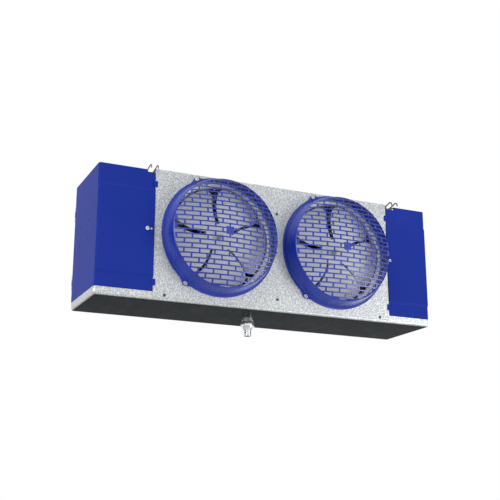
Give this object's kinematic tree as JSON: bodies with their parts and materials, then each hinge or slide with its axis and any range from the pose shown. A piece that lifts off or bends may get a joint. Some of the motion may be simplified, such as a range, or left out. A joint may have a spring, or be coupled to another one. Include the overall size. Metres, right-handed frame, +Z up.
{
  "type": "walk-in unit cooler",
  "caption": "Ceiling-hung cold-room evaporator with guarded axial fans, finned coil, swing-open end panels and a drop-down drain pan.",
  "frame": {"origin": "centre of the four hanger holes, on the upper face of the hanger webs", "axes": "+Z up to the ceiling, +X along the cabinet, the fans blow towards -Y"},
  "size_m": [1.073, 0.3254, 0.4394],
  "materials": {
    "blue_enamel": "smooth blue enamel",
    "blue_guard": "moulded blue, satin gloss",
    "brass": "machined brass",
    "bright_steel": "zinc plated",
    "copper": "drawn copper tube, lightly tarnished",
    "dark_screws": "blackened",
    "drain_metal": "bright plated",
    "fan_aluminium": "brushed sheet",
    "fin_aluminium": "mill finish fins",
    "galvanised_sheet": "stucco-embossed galvanised sheet, satin",
    "hanger_steel": "galvanised, dull",
    "motor_enamel": "black enamel",
    "terminal_plastic": "moulded black",
    "venturi_steel": "bright drawn sheet",
    "zinc_screws": "zinc plated"
  },
  "bodies": {
    "cabinet": {"centre_partition": "galvanised_sheet", "coil_fins": "fin_aluminium", "coil_tubes": "copper", "distributor": "brass", "expansion_valve": "brass", "feeder_tubes": "copper", "front_panel": "galvanised_sheet", "front_panel_screws": "dark_screws", "left_door_pins": "bright_steel", "left_end_frame": "galvanised_sheet", "left_guard": "blue_guard", "left_guard_screws": "zinc_screws", "left_hanger": "hanger_steel", "left_motor": "motor_enamel", "left_motor_mount": "bright_steel", "left_tube_sheet": "galvanised_sheet", "left_venturi": "venturi_steel", "liquid_line": "copper", "pan_hinge_leaves": "bright_steel", "pan_hinge_pins": "bright_steel", "pan_screws": "dark_screws", "rear_rail": "galvanised_sheet", "return_bends": "copper", "right_door_pins": "bright_steel", "right_end_frame": "galvanised_sheet", "right_guard": "blue_guard", "right_guard_screws": "zinc_screws", "right_hanger": "hanger_steel", "right_motor": "motor_enamel", "right_motor_mount": "bright_steel", "right_tube_sheet": "galvanised_sheet", "right_venturi": "venturi_steel", "suction_header": "copper", "terminal_box": "galvanised_sheet", "terminal_strip": "terminal_plastic", "top_panel": "galvanised_sheet"},
    "left_fan": {"left_fan_blades": "fan_aluminium", "left_fan_hub": "bright_steel"},
    "right_fan": {"right_fan_blades": "fan_aluminium", "right_fan_hub": "bright_steel"},
    "left_door": {"left_end_panel": "blue_enamel", "left_panel_screws": "zinc_screws"},
    "right_door": {"right_end_panel": "blue_enamel", "right_panel_screws": "zinc_screws"},
    "pan": {"drain_pan": "galvanised_sheet", "drain_fitting": "drain_metal"}
  },
  "joints": [
    {"name": "left_fan_spin", "type": "hinge", "parent": "cabinet", "child": "left_fan", "pos_m": [-0.1855, -0.12, -0.1685], "axis": [0, 1, 0], "continuous": true},
    {"name": "right_fan_spin", "type": "hinge", "parent": "cabinet", "child": "right_fan", "pos_m": [0.1935, -0.12, -0.1685], "axis": [0, 1, 0], "continuous": true},
    {"name": "left_panel_swing", "type": "hinge", "parent": "cabinet", "child": "left_door", "pos_m": [-0.5454, 0.1242, -0.1685], "axis": [0, 0, -1], "range_deg": [0, 100]},
    {"name": "right_panel_swing", "type": "hinge", "parent": "cabinet", "child": "right_door", "pos_m": [0.5204, 0.1242, -0.1685], "axis": [0, 0, 1], "range_deg": [0, 100]},
    {"name": "pan_drop", "type": "hinge", "parent": "cabinet", "child": "pan", "pos_m": [0, 0.1242, -0.347], "axis": [1, 0, 0], "range_deg": [0, 90]}
  ]
}
